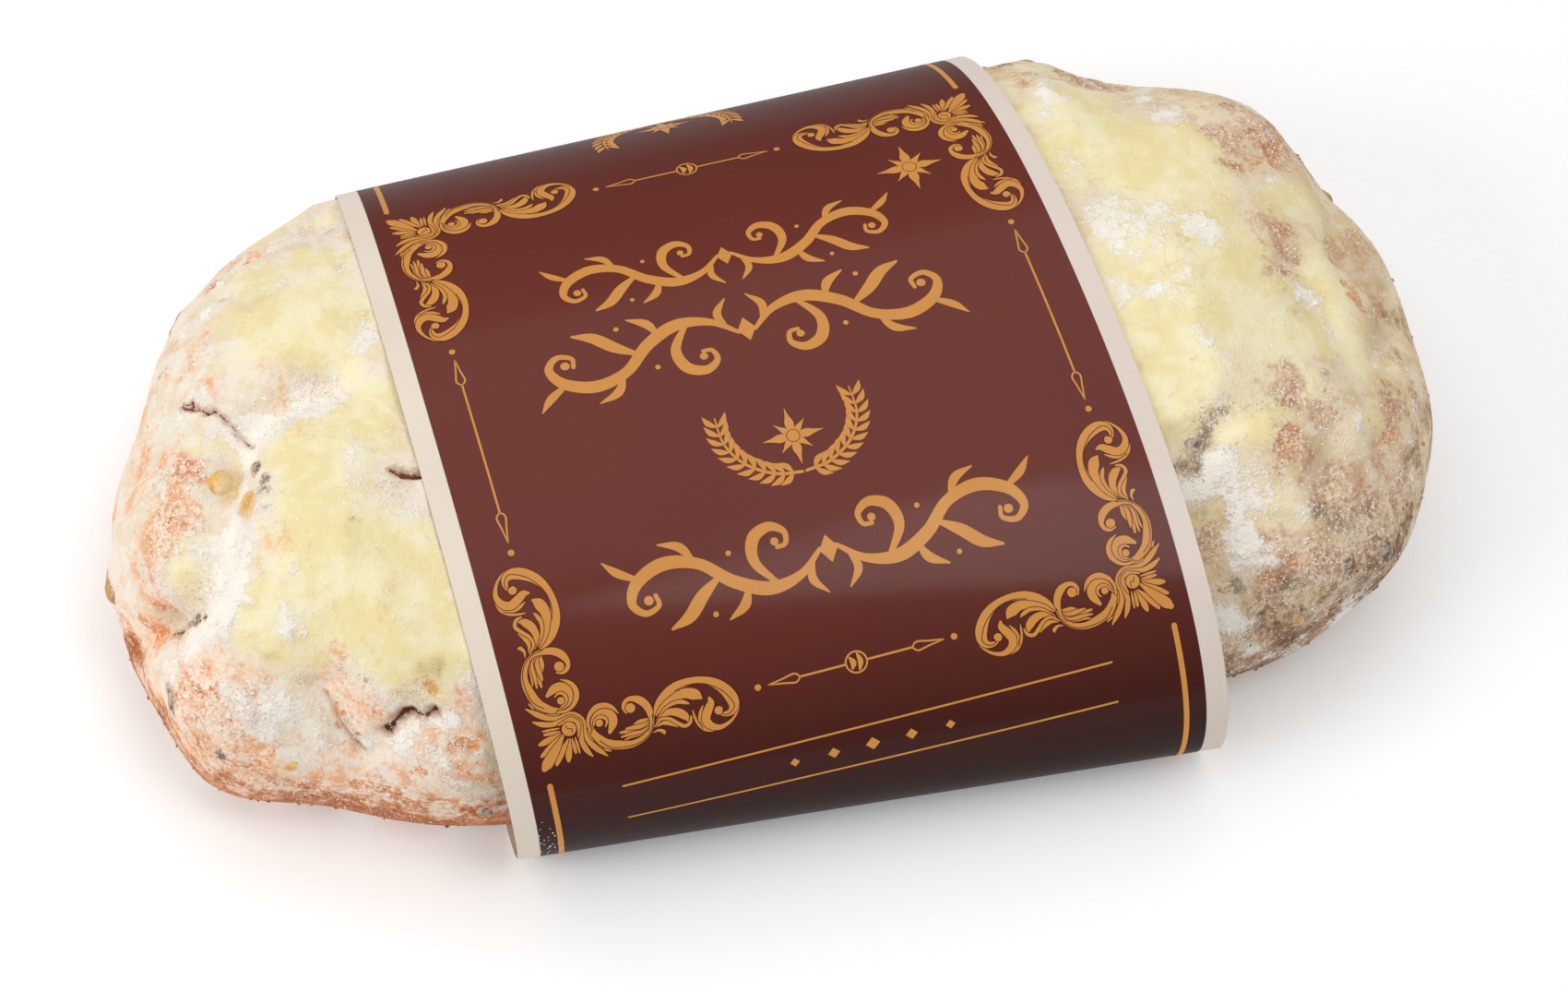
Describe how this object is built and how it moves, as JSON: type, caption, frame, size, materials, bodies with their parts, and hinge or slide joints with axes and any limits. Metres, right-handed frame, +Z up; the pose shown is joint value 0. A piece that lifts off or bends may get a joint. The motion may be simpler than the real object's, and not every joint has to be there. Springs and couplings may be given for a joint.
{
  "type": "stollen",
  "caption": "Sugared stollen loaf with raisins and candied peel in the crust, a brown paper sleeve with gold ornaments wrapped round its middle.",
  "frame": {"origin": "middle of the footprint, on the surface the stollen lies on", "axes": "+X along the loaf, +Z up, -Y towards the side whose sleeve carries the lower border"},
  "size_m": [0.25, 0.159, 0.0562],
  "materials": {
    "sugared_crust": "baked crust under melted butter and powdered sugar",
    "printed_paper": "coated paper, dark brown print with gold ornaments, cream edges",
    "sultana": "golden sultana",
    "raisin": "dark raisin",
    "peel": "candied citrus peel"
  },
  "bodies": {
    "root": {"loaf": "sugared_crust", "sleeve": "printed_paper", "sultana_left_end": "sultana", "sultana_back_right": "sultana", "sultana_right_end": "sultana", "raisin_left_fold": "raisin", "raisin_left_hollow": "raisin", "raisin_left_side": "raisin", "raisin_left_low": "raisin", "raisin_front_low": "raisin", "raisin_right_low": "raisin", "raisin_right_side": "raisin", "raisin_right_crown": "raisin", "raisin_back_left": "raisin", "raisin_back_right": "raisin", "peel_left_lobe": "peel", "peel_left_crown": "peel", "peel_left_low": "peel", "peel_right_low": "peel", "peel_back_left": "peel"}
  },
  "joints": []
}
